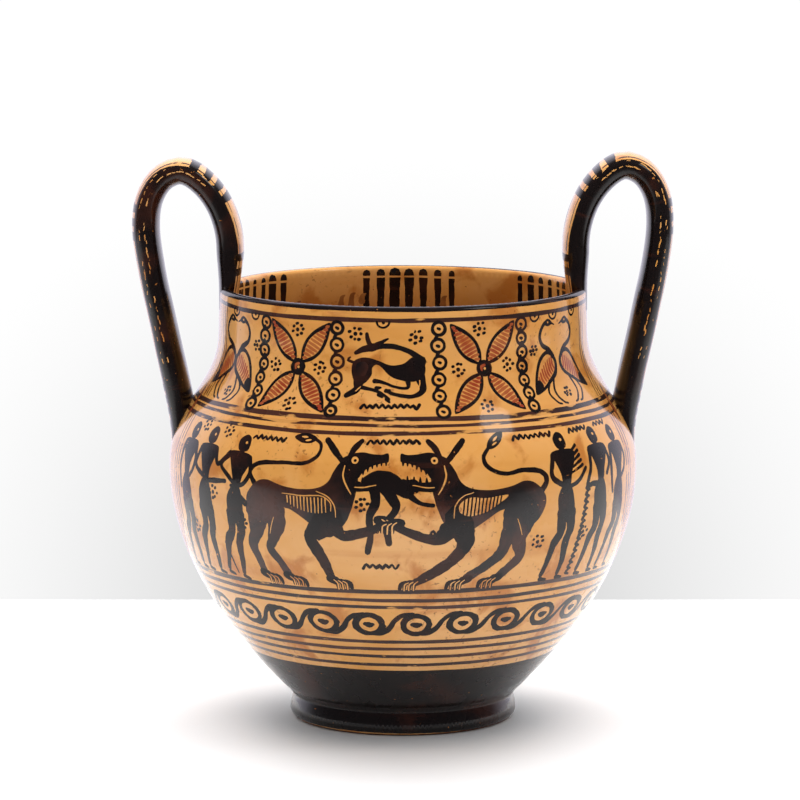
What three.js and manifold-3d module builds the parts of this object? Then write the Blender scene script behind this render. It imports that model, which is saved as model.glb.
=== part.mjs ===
// Two-handled krater: a round-bellied, footed pot with a wide straight mouth and two tall
// strap handles, thrown, joined and fired as one piece. Millimetres, +Z up.
// The foot stands on Z = 0, the pot's axis is X = Y = 0 and the handles rise on -X and +X.
import * as THREE from 'three';
import { mergeVertices } from 'three/addons/utils/BufferGeometryUtils.js';
import Module from 'manifold-3d';

// ---- driving dimensions ----
const RIM_HEIGHT = 192.2;        // top of the lip
const LIP_WALL = 4.6;            // thickness of the wall at the rounded lip
const NECK_RADIUS = 81.3;        // outside of the nearly straight neck
const NECK_FOOT_Z = 176;         // where the neck turns out into the shoulder
const NECK_TAPER = 0.6;          // the neck draws in by this much up to the lip
const BELLY_RADIUS = 103.5;      // outside at the widest
const BELLY_Z = 112;
const BELLY_POWER = 1.96;        // fullness of the lower belly
const BODY_WALL = 5.6;           // wall of belly and shoulder
const FLOOR_Z = 15.5;            // inside floor
const FLOOR_CURVE_Z = 24;        // where the floor's dish meets the lower wall

const FOOT_TOP_RADIUS = 48.7;    // outside of the foot where it meets the belly
const FOOT_TOP_Z = 10.6;
const FOOT_RADIUS = 50.3;        // outside of the foot at its widest
const FOOT_WIDE_Z = 3.2;
const FOOT_STAND_OUTER = 46.9;   // flat standing ring, outer and inner edge
const FOOT_STAND_INNER = 40.5;
const FOOT_RECESS_RADIUS = 38.4; // hollow under the foot
const FOOT_RECESS_Z = 6.4;

const STRAP_WIDTH = 25;          // handle strap, along Y
const STRAP_THICKNESS = 12;      // handle strap, across the loop
const STRAP_ROUNDING = 2.4;      // exponent of the strap's rounded section
const ROOT_FLARE = 1.22;         // strap width at its two joints against its run
const ROOT_LENGTH = 0.12;        // share of the strap's length that changes towards a joint
const LIP_ROOT_THINNING = 0.42;  // the strap thins by this share where it is pressed over the lip
const HANDLE_RISE = { left: 0, right: 2.4 }; // extra height of each loop: they were pulled by hand

const TURN_SEGMENTS = 76;
const LOWER_STEPS = 11;
const SHOULDER_STEPS = 9;
const LIP_STEPS = 4;
const STRAP_STEPS = 30;
const STRAP_SIDES = 12;

const wasm = await Module();
wasm.setup();

// ---- profile of the pot ----
// Outside radius at height z, from the top of the foot to the lip.
function outerRadius(z) {
  if (z <= BELLY_Z) {
    const down = (BELLY_Z - z) / (BELLY_Z - FOOT_TOP_Z);
    return BELLY_RADIUS - (BELLY_RADIUS - FOOT_TOP_RADIUS) * Math.pow(down, BELLY_POWER);
  }
  if (z <= NECK_FOOT_Z) {
    const up = (z - BELLY_Z) / (NECK_FOOT_Z - BELLY_Z);
    const turn = up * up * up * (up * (up * 6 - 15) + 10);
    return BELLY_RADIUS + (NECK_RADIUS - BELLY_RADIUS) * turn;
  }
  return NECK_RADIUS - NECK_TAPER * (z - NECK_FOOT_Z) / (RIM_HEIGHT - NECK_FOOT_Z);
}

// Point on the inside of the wall, square in from the outside at height z.
function innerPoint(z, wall) {
  const step = 0.5;
  const slope = (outerRadius(z + step) - outerRadius(z - step)) / (2 * step);
  const length = Math.hypot(slope, 1);
  return new THREE.Vector2(outerRadius(z) - wall / length, z + wall * slope / length);
}

function wallAt(z) {
  const up = THREE.MathUtils.clamp((z - BELLY_Z) / (NECK_FOOT_Z - BELLY_Z), 0, 1);
  return THREE.MathUtils.lerp(BODY_WALL, LIP_WALL, up);
}

function outsidePoints() {
  const points = [];
  for (let i = 0; i <= LOWER_STEPS; i += 1) {
    const z = THREE.MathUtils.lerp(FOOT_TOP_Z, BELLY_Z, i / LOWER_STEPS);
    points.push(new THREE.Vector2(outerRadius(z), z));
  }
  for (let i = 1; i <= SHOULDER_STEPS; i += 1) {
    const z = THREE.MathUtils.lerp(BELLY_Z, NECK_FOOT_Z, i / SHOULDER_STEPS);
    points.push(new THREE.Vector2(outerRadius(z), z));
  }
  return points;
}

function lipPoints() {
  const round = LIP_WALL / 2;
  const centreZ = RIM_HEIGHT - round;
  const centreRadius = outerRadius(centreZ) - round;
  const points = [];
  for (let i = 0; i <= LIP_STEPS; i += 1) {
    const turn = Math.PI * i / LIP_STEPS;
    points.push(new THREE.Vector2(centreRadius + round * Math.cos(turn), centreZ + round * Math.sin(turn)));
  }
  return points;
}

// Inside of the wall from the neck down to the dished floor.
function insidePoints() {
  const points = [];
  for (let i = 0; i <= SHOULDER_STEPS - 2; i += 1) {
    const z = THREE.MathUtils.lerp(NECK_FOOT_Z, BELLY_Z, i / (SHOULDER_STEPS - 2));
    points.push(innerPoint(z, wallAt(z)));
  }
  const lowest = LOWER_STEPS - 3;
  for (let i = 1; i <= lowest; i += 1) {
    const z = THREE.MathUtils.lerp(BELLY_Z, FLOOR_CURVE_Z, i / lowest);
    points.push(innerPoint(z, wallAt(z)));
  }
  const edge = points[points.length - 1];
  points.push(new THREE.Vector2(edge.x * 0.72, THREE.MathUtils.lerp(edge.y, FLOOR_Z, 0.82)));
  points.push(new THREE.Vector2(0, FLOOR_Z));
  return points;
}

function footPoints() {
  return [
    new THREE.Vector2(0, FOOT_RECESS_Z),
    new THREE.Vector2(FOOT_RECESS_RADIUS - 2, FOOT_RECESS_Z),
    new THREE.Vector2(FOOT_RECESS_RADIUS, FOOT_RECESS_Z - 2),
    new THREE.Vector2(FOOT_STAND_INNER, 0),
    new THREE.Vector2(FOOT_STAND_OUTER, 0),
    new THREE.Vector2(FOOT_RADIUS - 0.7, FOOT_WIDE_Z - 1.4),
    new THREE.Vector2(FOOT_RADIUS, FOOT_WIDE_Z),
    new THREE.Vector2((FOOT_RADIUS + FOOT_TOP_RADIUS) / 2 + 0.3, (FOOT_TOP_Z + FOOT_WIDE_Z) / 2),
  ];
}

// ---- handles ----
// Centre line of one loop as [distance from the pot's axis, height]: up from the lip,
// over the top and down to the shoulder.
const LOOP_LINE = [
  [77.6, 182], [76.2, 198], [76.4, 214], [80.4, 227.5], [87.6, 237.4], [96.8, 242.8], [105.8, 239.6],
  [111.5, 230.2], [113, 216.5], [110.6, 199], [106.2, 177.5], [101.4, 155], [97.3, 134], [96.4, 119],
];

function loopCurve(side, rise) {
  const top = Math.max(...LOOP_LINE.map((point) => point[1]));
  const points = LOOP_LINE.map(([out, z]) => {
    const share = Math.max(0, (z - RIM_HEIGHT) / (top - RIM_HEIGHT));
    return new THREE.Vector3(side * out, 0, z + rise * share);
  });
  return new THREE.CatmullRomCurve3(points, false, 'centripetal');
}

// Closed strap swept along the loop, its width lying along Y and growing towards both joints.
function strapGeometry(curve) {
  const positions = [];
  const index = [];
  const across = new THREE.Vector3(0, 1, 0);
  for (let i = 0; i <= STRAP_STEPS; i += 1) {
    const along = i / STRAP_STEPS;
    const centre = curve.getPointAt(along);
    const outward = new THREE.Vector3().crossVectors(curve.getTangentAt(along), across);
    const nearRoot = Math.max(0, 1 - Math.min(along, 1 - along) / ROOT_LENGTH);
    const nearLip = Math.max(0, 1 - along / ROOT_LENGTH);
    const width = STRAP_WIDTH * (1 + (ROOT_FLARE - 1) * nearRoot * nearRoot);
    const thickness = STRAP_THICKNESS * (1 - LIP_ROOT_THINNING * nearLip);
    for (let k = 0; k < STRAP_SIDES; k += 1) {
      const turn = 2 * Math.PI * (k + 0.5) / STRAP_SIDES;
      const c = Math.cos(turn);
      const s = Math.sin(turn);
      const reach = Math.pow(Math.abs(c) ** STRAP_ROUNDING + Math.abs(s) ** STRAP_ROUNDING, -1 / STRAP_ROUNDING);
      const point = centre.clone()
        .addScaledVector(across, c * reach * width / 2)
        .addScaledVector(outward, s * reach * thickness / 2);
      positions.push(point.x, point.y, point.z);
    }
  }
  const ring = (i, k) => i * STRAP_SIDES + (k % STRAP_SIDES);
  for (let i = 0; i < STRAP_STEPS; i += 1) {
    for (let k = 0; k < STRAP_SIDES; k += 1) {
      index.push(ring(i, k), ring(i, k + 1), ring(i + 1, k + 1));
      index.push(ring(i, k), ring(i + 1, k + 1), ring(i + 1, k));
    }
  }
  for (let k = 1; k < STRAP_SIDES - 1; k += 1) {
    index.push(ring(0, 0), ring(0, k + 1), ring(0, k));
    index.push(ring(STRAP_STEPS, 0), ring(STRAP_STEPS, k), ring(STRAP_STEPS, k + 1));
  }
  const geometry = new THREE.BufferGeometry();
  geometry.setAttribute('position', new THREE.Float32BufferAttribute(positions, 3));
  geometry.setIndex(index);
  return geometry;
}

// ---- solids ----
// A closed geometry as a solid, with its outside facing out whichever way it was wound.
function solidOf(geometry) {
  const bare = geometry.clone();
  bare.deleteAttribute('normal');
  bare.deleteAttribute('uv');
  const merged = mergeVertices(bare, 1e-4);
  const flat = [];
  const corners = merged.index.array;
  for (let i = 0; i < corners.length; i += 3) {
    const [a, b, c] = [corners[i], corners[i + 1], corners[i + 2]];
    if (a !== b && b !== c && c !== a) {
      flat.push(a, b, c);
    }
  }
  const at = (vertex) => new THREE.Vector3().fromBufferAttribute(merged.attributes.position, vertex);
  let volume = 0;
  for (let i = 0; i < flat.length; i += 3) {
    volume += at(flat[i]).dot(at(flat[i + 1]).cross(at(flat[i + 2])));
  }
  if (volume < 0) {
    for (let i = 0; i < flat.length; i += 3) {
      [flat[i + 1], flat[i + 2]] = [flat[i + 2], flat[i + 1]];
    }
  }
  return new wasm.Manifold(new wasm.Mesh({
    numProp: 3,
    vertProperties: new Float32Array(merged.attributes.position.array),
    triVerts: new Uint32Array(flat),
  }));
}

// Turned about the pot's axis; the profile is laid along Y by the lathe and stood up along Z.
function turned(points) {
  const geometry = new THREE.LatheGeometry(points, TURN_SEGMENTS);
  geometry.rotateX(Math.PI / 2);
  return solidOf(geometry);
}

function geometryOf(solid) {
  const mesh = solid.getMesh();
  const geometry = new THREE.BufferGeometry();
  geometry.setAttribute('position', new THREE.BufferAttribute(new Float32Array(mesh.vertProperties), 3));
  geometry.setIndex(new THREE.BufferAttribute(new Uint32Array(mesh.triVerts), 1));
  geometry.computeVertexNormals();
  return geometry;
}

const pot = turned([...footPoints(), ...outsidePoints(), ...lipPoints(), ...insidePoints()]);

// Room inside the belly, so that no handle joint shows through the shoulder wall.
const belly = insidePoints();
const room = turned([new THREE.Vector2(0, belly[0].y), ...belly]);

let krater = pot;
for (const [side, rise] of [[-1, HANDLE_RISE.left], [1, HANDLE_RISE.right]]) {
  const strap = solidOf(strapGeometry(loopCurve(side, rise)));
  krater = krater.add(strap.subtract(room));
}

const ceramic = new THREE.MeshStandardMaterial({ color: 0xc98f4e, roughness: 0.25, metalness: 0 });
const node = new THREE.Mesh(geometryOf(krater), ceramic);
node.name = 'krater';

const group = new THREE.Group();
group.name = 'two_handled_krater';
group.add(node);

export default group;
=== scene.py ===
import math
import random

import bpy
import numpy as np
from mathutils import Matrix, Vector
from mathutils.geometry import delaunay_2d_cdt


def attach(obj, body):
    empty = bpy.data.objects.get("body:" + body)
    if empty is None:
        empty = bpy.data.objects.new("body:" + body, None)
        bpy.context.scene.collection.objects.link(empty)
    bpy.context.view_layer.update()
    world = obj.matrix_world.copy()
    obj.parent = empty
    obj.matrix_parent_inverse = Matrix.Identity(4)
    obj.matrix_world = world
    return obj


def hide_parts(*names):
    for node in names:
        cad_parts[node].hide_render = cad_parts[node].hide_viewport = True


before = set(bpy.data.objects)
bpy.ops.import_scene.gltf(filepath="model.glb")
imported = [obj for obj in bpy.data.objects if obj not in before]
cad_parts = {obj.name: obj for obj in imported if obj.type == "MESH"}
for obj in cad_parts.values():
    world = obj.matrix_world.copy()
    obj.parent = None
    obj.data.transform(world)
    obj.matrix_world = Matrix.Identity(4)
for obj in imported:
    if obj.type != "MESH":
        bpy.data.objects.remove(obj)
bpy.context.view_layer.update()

# A glossy painted clay krater. Its whole skin, from under the foot over the lip to the inside floor, is
# one sheet measured in millimetres: x runs round the pot on a circle of radius SHEET_RADIUS, y runs
# along the turned profile. Every brush stroke is an outline on that sheet, so its edge is as sharp as
# the mesh, and each face takes the colour of the last stroke laid over it.

# ---- the pot's own measures, in millimetres ----
RIM_HEIGHT = 192.2
LIP_WALL = 4.6
NECK_RADIUS = 81.3
NECK_FOOT_Z = 176.0
NECK_TAPER = 0.6
BELLY_RADIUS = 103.5
BELLY_Z = 112.0
BELLY_POWER = 1.96
BODY_WALL = 5.6
FLOOR_Z = 15.5
FLOOR_CURVE_Z = 24.0
FOOT_TOP_RADIUS = 48.7
FOOT_TOP_Z = 10.6
FOOT_RADIUS = 50.3
FOOT_WIDE_Z = 3.2
FOOT_STAND_OUTER = 46.9
FOOT_STAND_INNER = 40.5
FOOT_RECESS_RADIUS = 38.4
FOOT_RECESS_Z = 6.4
FLOOR_POWER = 2.6            # how flat the dished floor is before it turns up into the wall
HUB_RADIUS = 2.0             # the sheet stops this short of the axis, and a fan of faces closes it
WALL_STEPS = 240             # points along each stretch of the turned line
LIP_STEPS = 14
INSIDE_STEPS = 160
FLOOR_STEPS = 24

STRAP_WIDTH = 25.0
STRAP_THICKNESS = 12.0
STRAP_ROUNDING = 2.4
ROOT_FLARE = 1.22
ROOT_LENGTH = 0.12
LIP_ROOT_THINNING = 0.42
HANDLE_RISE = {"left": 0.0, "right": 2.4}
LOOP_LINE = [
    (77.6, 182), (76.2, 198), (76.4, 214), (80.4, 227.5), (87.6, 237.4), (96.8, 242.8), (105.8, 239.6),
    (111.5, 230.2), (113, 216.5), (110.6, 199), (106.2, 177.5), (101.4, 155), (97.3, 134), (96.4, 119),
]

MM = 0.001
SHEET_RADIUS = BELLY_RADIUS
SEAM_ANGLE = -94.0           # the sheet's two edges meet behind the left handle
SHEET_START = SHEET_RADIUS * math.radians(SEAM_ANGLE)
SHEET_WIDTH = 2 * math.pi * SHEET_RADIUS
GRID = 4.0                   # spacing of the sheet's plain points
BRUSH_UNIT = 100             # millimetres of sheet to one step of the brush map
chance = random.Random(11)

# Colours a face can take, in the order of the pieces' material slots.
CLAY, SLIP, THIN_SLIP, DRY_LINE, RED, RED_LIGHT, BARE, RING, WASH = range(9)


# ---- profile ----
def outer_radius(z):
    z = np.asarray(z, float)
    down = np.clip((BELLY_Z - z) / (BELLY_Z - FOOT_TOP_Z), 0, None)
    lower = BELLY_RADIUS - (BELLY_RADIUS - FOOT_TOP_RADIUS) * down ** BELLY_POWER
    up = np.clip((z - BELLY_Z) / (NECK_FOOT_Z - BELLY_Z), 0, 1)
    turn = up ** 3 * (up * (up * 6 - 15) + 10)
    taper = NECK_TAPER * np.clip(z - NECK_FOOT_Z, 0, None) / (RIM_HEIGHT - NECK_FOOT_Z)
    return lower + (NECK_RADIUS - BELLY_RADIUS) * turn - taper


def inner_point(z):
    share = min(1.0, max(0.0, (z - BELLY_Z) / (NECK_FOOT_Z - BELLY_Z)))
    wall = BODY_WALL + (LIP_WALL - BODY_WALL) * share
    slope = float(outer_radius(z + 0.5) - outer_radius(z - 0.5))
    length = math.hypot(slope, 1)
    return float(outer_radius(z)) - wall / length, z + wall * slope / length


def profile_points():
    """The turned line as (radius, z): under the foot, up the outside, over the lip, down the inside."""
    foot = [
        (HUB_RADIUS, FOOT_RECESS_Z), (FOOT_RECESS_RADIUS - 2, FOOT_RECESS_Z),
        (FOOT_RECESS_RADIUS, FOOT_RECESS_Z - 2), (FOOT_STAND_INNER, 0.0), (FOOT_STAND_OUTER, 0.0),
        (FOOT_RADIUS - 1.6, 0.5), (FOOT_RADIUS - 0.6, 1.6), (FOOT_RADIUS, FOOT_WIDE_Z),
        (FOOT_RADIUS - 0.2, 5.4), (FOOT_RADIUS - 0.9, 8.2), (FOOT_TOP_RADIUS + 0.1, 9.9),
    ]
    round_lip = LIP_WALL / 2
    lip_z = RIM_HEIGHT - round_lip
    outside = [(float(outer_radius(z)), z) for z in np.linspace(FOOT_TOP_Z, lip_z, WALL_STEPS)]
    lip_radius = float(outer_radius(lip_z)) - round_lip
    lip = [
        (lip_radius + round_lip * math.cos(a), lip_z + round_lip * math.sin(a))
        for a in np.linspace(0, math.pi, LIP_STEPS)[1:]
    ]
    inside = [inner_point(z) for z in np.linspace(NECK_FOOT_Z, FLOOR_CURVE_Z, INSIDE_STEPS)]
    edge_radius, edge_z = inside[-1]
    dish = [
        (edge_radius * (1 - t), FLOOR_Z + (edge_z - FLOOR_Z) * (1 - t) ** FLOOR_POWER)
        for t in np.linspace(0, 1 - HUB_RADIUS / edge_radius, FLOOR_STEPS)[1:]
    ]
    return foot, outside, lip, inside + dish


foot_line, outside_line, lip_line, inside_line = profile_points()
PROFILE = np.array(foot_line + outside_line + lip_line + inside_line)
steps = np.hypot(*np.diff(PROFILE, axis=0).T)
ALONG = np.concatenate([[0.0], np.cumsum(steps)])
foot_end = len(foot_line)
BASE = ALONG[foot_end]                                  # sheet height where the belly leaves the foot
ALONG -= BASE
LIP_OUT = ALONG[foot_end + len(outside_line) - 1]       # where the lip begins to round over
LIP_IN = ALONG[foot_end + len(outside_line) + len(lip_line) - 1]
SHEET_LOW, SHEET_HIGH = ALONG[0], ALONG[-1]
STAND_EDGE = ALONG[4]                                   # outer edge of the flat standing ring


def radius_on(y):
    """The pot's radius at a height on the sheet."""
    return np.interp(y, ALONG, PROFILE[:, 0])


def ripple(angle, y):
    """Slight unevenness of a hand-thrown wall, in millimetres, fading out at the lip and the foot."""
    calm = np.clip((y - 4) / 22, 0, 1) * np.clip((LIP_OUT - 2 - y) / 22, 0, 1)
    wave = 0.13 * np.sin(2 * angle + 0.7 + y / 60) + 0.07 * np.sin(3 * angle - y / 17)
    wave += 0.06 * np.sin(5 * angle + y / 9.5 + 1.1) + 0.05 * np.sin(angle + y / 5.2)
    return calm * (wave - 0.18)


def pot_surface(x, y):
    angle = x / SHEET_RADIUS
    radius = radius_on(y) + ripple(angle, y)
    z = np.interp(y, ALONG, PROFILE[:, 1])
    return np.stack([radius * np.sin(angle), -radius * np.cos(angle), z], axis=1) * MM


# ---- brush work ----
def smooth(points, step=1.0, closed=False):
    """Points of a Catmull-Rom line through control points; every column is carried along."""
    points = np.asarray(points, float)
    if closed:
        ring = np.vstack([points[-1], points, points[0], points[1]])
    else:
        ring = np.vstack([2 * points[0] - points[1], points, 2 * points[-1] - points[-2]])
    out = []
    for a, b, c, d in zip(ring, ring[1:], ring[2:], ring[3:]):
        count = max(2, int(math.ceil(np.hypot(*(c - b)[:2]) / step)))
        t = np.linspace(0, 1, count, endpoint=False)[:, None]
        out.append(0.5 * (2 * b + (c - a) * t + (2 * a - 5 * b + 4 * c - d) * t ** 2
                          + (3 * b - a - 3 * c + d) * t ** 3))
    if not closed:
        out.append(points[-1:])
    return np.vstack(out)


def unsteady(count, size):
    """A slow wander of a hand-held brush: one value for each of count points."""
    along = np.arange(count)
    value = np.zeros(count)
    for period in (23.0, 9.0, 4.3):
        value += math.sqrt(period / 23.0) * np.sin(2 * np.pi * along / period + chance.uniform(0, 6.28))
    return value * size / 2


class Spot:
    """A place to paint at. Local x and y are true millimetres from it; flip mirrors the motif."""

    def __init__(self, x, y, flip=1, scale=1.0, stretch=1.0, turn=0.0):
        self.at = np.array([x, y])
        self.flip, self.scale, self.stretch, self.turn = flip, scale, stretch, turn

    def place(self, points):
        x, y = points[:, 0] * self.flip * self.scale, points[:, 1] * self.scale
        c, s = math.cos(self.turn), math.sin(self.turn)
        return self.at + np.stack([(x * c - y * s) * self.stretch, x * s + y * c], axis=1)


def cut(outline, edge, side):
    """The part of an outline right (side 1) or left (side -1) of an upright line."""
    kept = []
    for a, b in zip(outline, np.roll(outline, -1, axis=0)):
        reach_a, reach_b = side * (a[0] - edge), side * (b[0] - edge)
        if reach_a >= 0:
            kept.append(a)
        if (reach_a >= 0) != (reach_b >= 0):
            y = a[1] + (b[1] - a[1]) * reach_a / (reach_a - reach_b)
            kept.append(np.array([edge, y]))
    return np.array(kept)


class Paint:
    """Strokes on a sheet, in the order they are laid. A stroke over one side edge goes on at the other."""

    def __init__(self, left, width):
        self.left, self.width = left, width
        self.shapes = []
        self.lines = []

    def shape(self, spot, points, colour):
        whole = spot.place(np.asarray(points, float))
        for lap in (-1, 0, 1):
            outline = whole + [lap * self.width, 0]
            for edge, side in ((self.left, 1), (self.left + self.width, -1)):
                if len(outline):
                    outline = cut(outline, edge, side)
            if len(outline) > 2:
                self.shapes.append((outline, colour))
                self.lines.append((outline, True))

    def blob(self, spot, points, colour=SLIP, step=1.1):
        outline = smooth(points, step, closed=True)
        outline = outline + np.stack([unsteady(len(outline), 0.1), unsteady(len(outline), 0.1)], axis=1)
        self.shape(spot, outline, colour)

    def disc(self, spot, x, y, radius, colour=SLIP):
        sides = max(8, int(radius * 9))
        turn = np.linspace(0, 2 * np.pi, sides, endpoint=False)
        reach = radius * (1 + unsteady(sides, 0.05))
        self.shape(spot, np.stack([x + reach * np.cos(turn), y + reach * np.sin(turn)], axis=1), colour)

    def circle(self, spot, x, y, radius, width):
        self.disc(spot, x, y, radius)
        self.disc(spot, x, y, radius - width, CLAY)

    def brush(self, spot, points, colour=SLIP):
        """A stroke through (x, y, width) points with rounded ends."""
        path = smooth(points, 0.9)
        centre = path[:, :2] + np.stack([unsteady(len(path), 0.12), unsteady(len(path), 0.12)], axis=1)
        half = np.maximum(path[:, 2], 0.25) / 2 * (1 + unsteady(len(path), 0.12))
        way = np.gradient(centre, axis=0)
        way /= np.maximum(np.hypot(*way.T), 1e-6)[:, None]
        side = np.stack([-way[:, 1], way[:, 0]], axis=1)

        def rounded(at, onward):
            """Three points round one end of the stroke."""
            return [centre[at] + onward * half[at] * (way[at] * math.cos(a) + side[at] * math.sin(a))
                    for a in (0.8, 0, -0.8)]

        left, right = centre + side * half[:, None], centre - side * half[:, None]
        self.shape(spot, np.vstack([left, rounded(-1, 1), right[::-1], rounded(0, -1)]), colour)

    def strokes(self, spot, lines, colour=SLIP):
        for points in lines:
            self.brush(spot, points, colour)

    def band(self, low, high, colour, wander=0.25):
        """A band right round the sheet whose two edges wander a little and meet at the seam."""
        count = int(self.width / 2.6)
        x = np.linspace(self.left, self.left + self.width, count + 1)
        turn = 2 * np.pi * (x - self.left) / self.width
        drift = [(k, chance.uniform(0, 6.28)) for k in (1, 2, 3, 7)]
        edges = []
        for level in (low, high):
            own = [(k, chance.uniform(0, 6.28)) for k in (5, 11, 19, 31)]
            y = level + sum(wander * np.sin(k * turn + phase) / k ** 0.7 for k, phase in drift)
            y = y + sum(0.35 * wander * np.sin(k * turn + phase) / k ** 0.3 for k, phase in own)
            y[-1] = y[0]
            edges.append(np.stack([x, y], axis=1))
            self.lines.append((edges[-1], False))
        self.shapes.append((np.vstack([edges[0] - [[1, 0]], edges[1][::-1] + [[1, 0]]]), colour))


def within(points, outline):
    """Which points lie inside an outline, counting its turns round each of them."""
    x, y = points[:, 0:1], points[:, 1:2]
    x0, y0 = outline.T
    x1, y1 = np.roll(outline, -1, axis=0).T
    side = (x1 - x0) * (y - y0) - (x - x0) * (y1 - y0)
    up = (y0 <= y) & (y1 > y) & (side > 0)
    down = (y0 > y) & (y1 <= y) & (side < 0)
    return up.sum(1) != down.sum(1)


def painted_faces(paint, plain_points, ground):
    """Triangles over the sheet with every stroke's outline in them, and each one's colour."""
    points = [Vector(p) for p in plain_points]
    edges = []
    for line, closed in paint.lines:
        first = len(points)
        points.extend(Vector(p) for p in line)
        edges.extend((first + i, first + i + 1) for i in range(len(line) - 1))
        if closed:
            edges.append((first + len(line) - 1, first))
    made = delaunay_2d_cdt(points, edges, [], 0, 1e-5, False)
    flat = np.array([tuple(v) for v in made[0]])
    faces = np.array(made[2], int)
    centres = flat[faces].mean(axis=1)
    order = np.argsort(centres[:, 0])
    across = centres[order, 0]
    colours = np.full(len(faces), ground)
    for outline, colour in paint.shapes:
        low, high = outline.min(axis=0), outline.max(axis=0)
        near = order[np.searchsorted(across, low[0]):np.searchsorted(across, high[0])]
        near = near[(centres[near, 1] > low[1]) & (centres[near, 1] < high[1])]
        for some in np.array_split(near, max(1, len(near) * len(outline) // 4000000)):
            colours[some[within(centres[some], outline)]] = colour
    return flat, faces, colours


def skin(name, flat, faces, colours, surface, materials, bake_map, caps):
    """A mesh piece from sheet triangles: placed by surface, smooth by the surface's own slopes.

    Each cap closes an edge of the sheet, at a level, with a fan of faces round a centre.
    """
    step = 0.05
    x, y = flat[:, 0], flat[:, 1]
    places = surface(x, y)
    right = surface(x + step, y) - surface(x - step, y)
    up = surface(x, y + step) - surface(x, y - step)
    normals = np.cross(right, up)
    normals /= np.maximum(np.linalg.norm(normals, axis=1), 1e-12)[:, None]
    twin = np.arange(len(flat))          # a point on the right edge is the same point on the left edge
    left_edge = np.nonzero(x < x.min() + 1e-4)[0]
    for i in np.nonzero(x > x.max() - 1e-4)[0]:
        nearest = left_edge[np.argmin(np.abs(y[left_edge] - y[i]))]
        if abs(y[nearest] - y[i]) < 1e-3:
            twin[i] = nearest
    corners = flat[faces].tolist()
    used, joined = np.unique(twin, return_inverse=True)
    faces, colours = joined[faces].tolist(), colours.tolist()
    places, normals = places[used].tolist(), normals[used].tolist()
    for level, centre, direction, colour in caps:
        row = sorted(np.nonzero(np.abs(y - level) < 1e-4)[0].tolist(), key=lambda i: x[i])
        for a, b in zip(row, row[1:]):
            middle_uv = [(x[a] + x[b]) / 2, level]
            pair = [a, b] if level > 0 else [b, a]
            faces.append([int(joined[pair[0]]), int(joined[pair[1]]), len(places)])
            corners.append([flat[pair[0]].tolist(), flat[pair[1]].tolist(), middle_uv])
            colours.append(colour)
        places.append(list(centre))
        normals.append(list(direction))
    mesh = bpy.data.meshes.new(name)
    mesh.from_pydata(places, [], faces)
    for material in materials:
        mesh.materials.append(material)
    mesh.polygons.foreach_set("material_index", np.array(colours, np.int32))
    mesh.polygons.foreach_set("use_smooth", np.ones(len(faces), bool))
    corners = np.array(corners, float).reshape(-1, 2)
    bake = bake_map(corners, np.repeat(colours, 3))
    for map_name, uv in (("OFBake", bake), ("Brush", corners / BRUSH_UNIT)):
        mesh.uv_layers.new(name=map_name).data.foreach_set("uv", uv.astype(np.float32).ravel())
    mesh.update()
    mesh.normals_split_custom_set_from_vertices(normals)
    piece = bpy.data.objects.new(name, mesh)
    bpy.context.scene.collection.objects.link(piece)
    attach(piece, "root")
    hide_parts("krater")


# ---- motifs ----
paint = Paint(SHEET_START, SHEET_WIDTH)


def sheet_x(angle):
    """Where an angle from the front, in degrees, lies on the sheet."""
    return SHEET_RADIUS * math.radians(angle)


def spot(angle, y, flip=1):
    """A spot at an angle and a sheet height, whose motifs keep their true width where the pot narrows."""
    return Spot(sheet_x(angle), y, flip, stretch=SHEET_RADIUS / float(radius_on(y)))


def frieze_spot(angle, y, flip=1, scale=1.0, turn=0.0):
    """A spot on the belly, whose motifs are drawn straight on the sheet."""
    return Spot(sheet_x(angle), y, flip, scale, turn=turn)


def rosette(angle, y, dots=7, radius=2.5):
    """A dot in a ring of dots, each a short dab."""
    place = spot(angle, y)
    paint.disc(place, 0, 0, 0.95)
    for k in range(dots):
        turn = 2 * math.pi * (k + chance.uniform(-0.2, 0.2)) / dots
        reach = radius * chance.uniform(0.9, 1.12)
        x, y = reach * math.cos(turn), reach * math.sin(turn)
        length = chance.uniform(0.1, 0.7)
        paint.brush(place, [(x, y, chance.uniform(1.2, 1.6)), (x + length, y + 0.3 * length, 1.3)])


def squiggle(angle, y, length):
    """A row of joined short strokes that fills a gap; it spells nothing."""
    place = spot(angle, y)
    count = int(length / 1.3)
    points = []
    for k in range(count + 1):
        rise = chance.uniform(0.5, 1.15) * (1 if k % 2 else -1)
        points.append((length * (k / count - 0.5), rise, chance.uniform(0.95, 1.55)))
    paint.brush(place, points)


def pendant(angle, y):
    """A half circle hung from the line above it, with a dot inside."""
    place = spot(angle, y)
    arc = [(2.7 * math.cos(a), 2.6 * math.sin(a), 1.0) for a in np.linspace(math.pi, 2 * math.pi, 7)]
    paint.brush(place, arc)
    paint.disc(place, 0.2, -0.4, 0.75)


def circle_column(angle, low, high, count):
    """Ringed dots one above the other, joined by short hooks."""
    for k in range(count):
        y = high - (high - low) * k / (count - 1)
        place = spot(angle + chance.uniform(-0.4, 0.4), y)
        radius = chance.uniform(3.1, 3.5)
        paint.circle(place, 0, 0, radius, chance.uniform(1.25, 1.6))
        paint.brush(place, [(-0.5, 0.1, 1.2), (0.3, -0.2, 1.5)])
        if k:
            paint.brush(place, [(-0.2, 4.3, 1.4), (-0.9, 3.4, 1.6), (-1.4, 2.4, 1.3)])


PETAL_TIP = (15.4, 19.6)
PETAL_START = 2.4            # how far from the cross's middle a petal begins
PETAL_HATCHES = 11


def petal_half_width(t):
    """Half a petal's width, at a share t of its length."""
    return 4.6 * math.sin(math.pi * t ** 0.85) ** 0.8


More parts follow.
